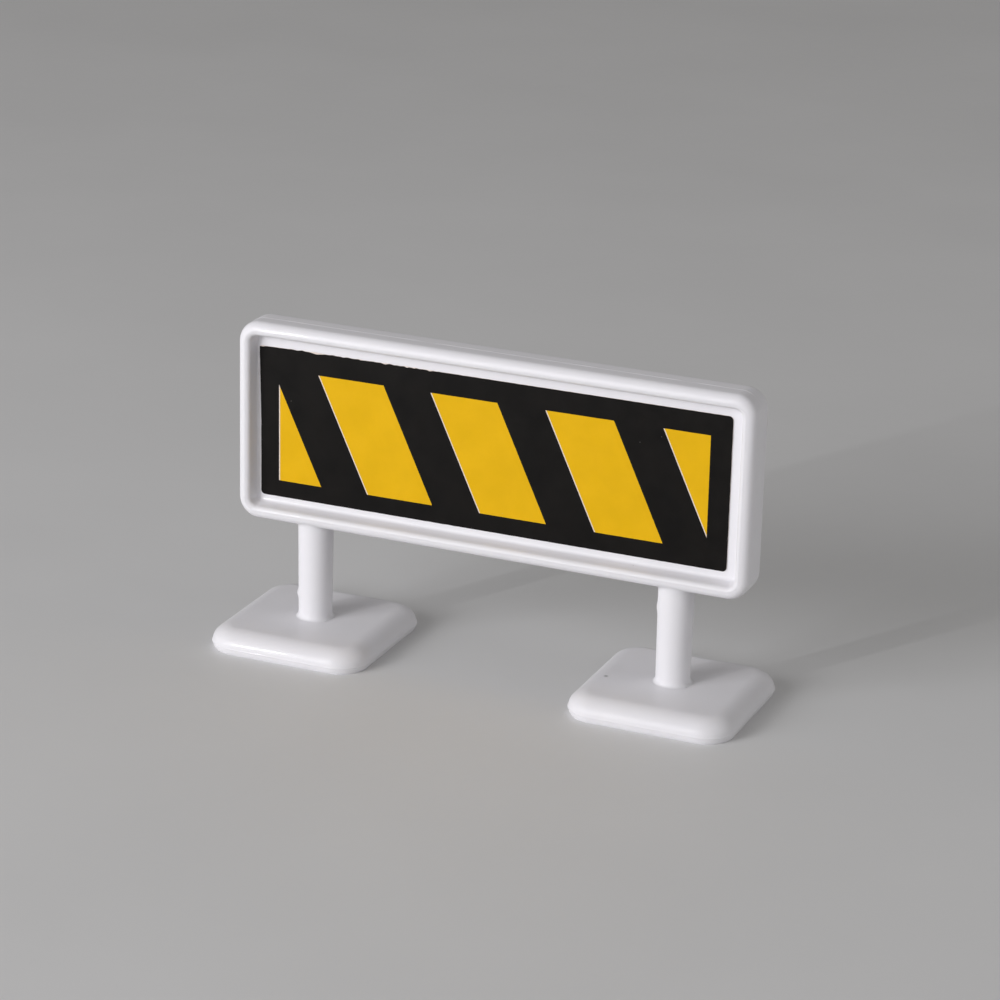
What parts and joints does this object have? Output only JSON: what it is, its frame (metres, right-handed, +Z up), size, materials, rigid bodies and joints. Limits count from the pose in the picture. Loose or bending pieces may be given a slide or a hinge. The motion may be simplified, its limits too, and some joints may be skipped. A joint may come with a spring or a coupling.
{
  "type": "toy road barricade",
  "caption": "Miniature road barricade: framed sign panel with a yellow and black slanted-stripe label on round posts with square feet.",
  "frame": {"origin": "on the ground, midway between the two posts, in the panel's middle plane", "axes": "+X to the right along the panel as seen from its labelled side, +Y from the labelled side to the back, +Z up"},
  "size_m": [0.0772, 0.0238, 0.0457],
  "materials": {
    "body_white": "glossy moulded white plastic",
    "label_glue": "clear adhesive film, slightly amber at the cut edge",
    "label_film": "white coated label stock",
    "print_black": "glossy black ink under a clear coat",
    "print_yellow": "glossy warm yellow ink under a clear coat"
  },
  "bodies": {
    "root": {"sign_panel": "body_white", "left_post": "body_white", "right_post": "body_white", "left_base": "body_white", "right_base": "body_white", "label_adhesive": "label_glue", "label_facestock": "label_film", "label_black_print": "print_black", "label_yellow_print_1": "print_yellow", "label_yellow_print_2": "print_yellow", "label_yellow_print_3": "print_yellow", "label_yellow_print_4": "print_yellow", "label_yellow_print_5": "print_yellow"}
  },
  "joints": []
}
